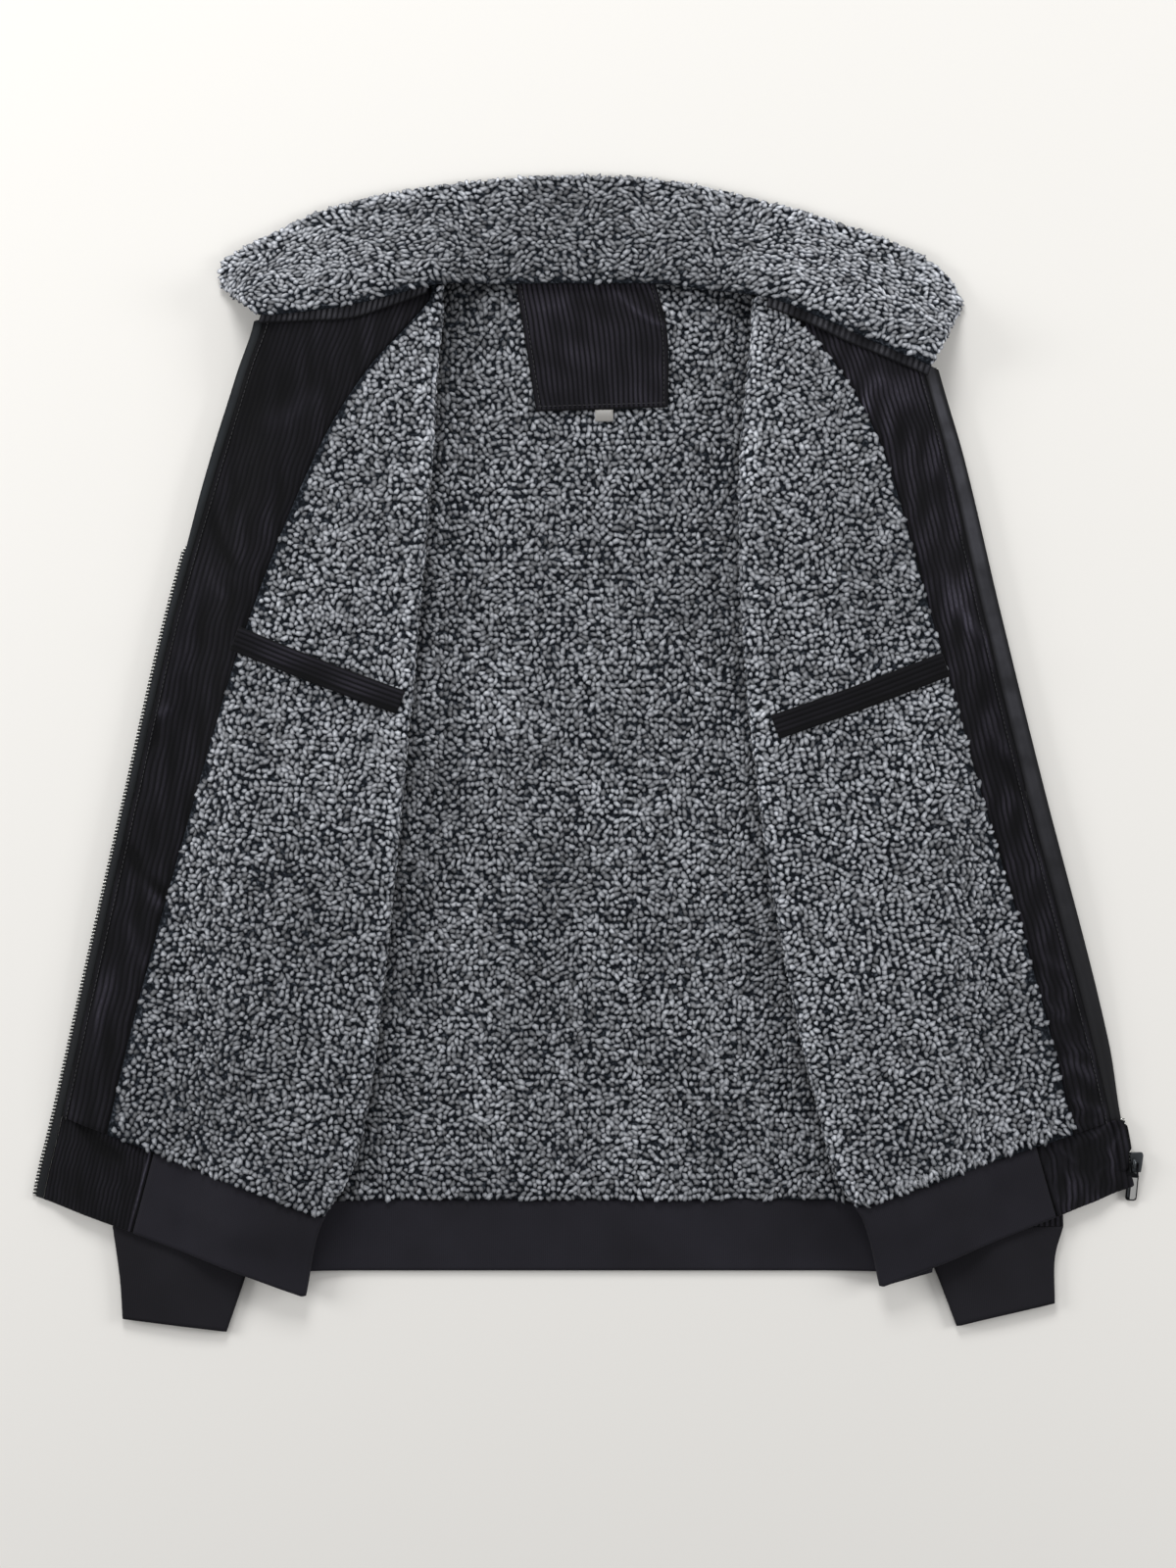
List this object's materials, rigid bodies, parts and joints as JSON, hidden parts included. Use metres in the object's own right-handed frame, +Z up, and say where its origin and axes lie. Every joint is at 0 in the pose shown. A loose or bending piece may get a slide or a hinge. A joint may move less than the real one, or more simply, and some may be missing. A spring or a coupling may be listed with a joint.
{
  "type": "jacket",
  "caption": "Open zip jacket lying flat on its back, pile lining up, fronts folded outwards, corduroy facings, knit hem and cuffs, collar fanned out.",
  "frame": {"origin": "on the surface that the jacket lies on, under the middle of its back", "axes": "+Z up from the surface, +Y from the hem towards the collar, +X towards the side with the zip slider"},
  "size_m": [0.7782, 0.808, 0.0383],
  "materials": {
    "outer_cloth": "matte cotton cloth",
    "sherpa": "curly pile, light tips over a dark ground",
    "corduroy": "wide-wale corduroy",
    "knit": "matte smooth knit",
    "tape": "woven tape",
    "tab_cloth": "satin woven tab",
    "zip_metal": "bright",
    "slider_metal": "dark grey satin"
  },
  "bodies": {
    "jacket": {"back_shell": "outer_cloth", "front_shell_l": "outer_cloth", "front_shell_r": "outer_cloth", "sleeve_l": "outer_cloth", "sleeve_r": "outer_cloth", "under_collar": "outer_cloth", "back_lining": "sherpa", "front_lining_l": "sherpa", "front_lining_r": "sherpa", "top_collar": "sherpa", "neck_patch": "corduroy", "facing_l": "corduroy", "facing_r": "corduroy", "corner_block_l": "corduroy", "corner_block_r": "corduroy", "collar_stand_l": "corduroy", "collar_stand_r": "corduroy", "welt_l": "corduroy", "welt_r": "corduroy", "hem_band_back": "knit", "hem_band_l": "knit", "hem_band_r": "knit", "cuff_l": "knit", "cuff_r": "knit", "zip_tape_l": "tape", "zip_tape_r": "tape", "size_tab": "tab_cloth", "zip_chain_l": "zip_metal", "zip_chain_r": "zip_metal", "zip_slider": "slider_metal"},
    "pull": {"zip_pull": "zip_metal"}
  },
  "joints": [
    {"name": "pull_swing", "type": "hinge", "parent": "jacket", "child": "pull", "pos_m": [0.382, -0.286, 0.0078], "axis": [-0.9976, 0.0698, 0], "range_deg": [0, 150]}
  ]
}
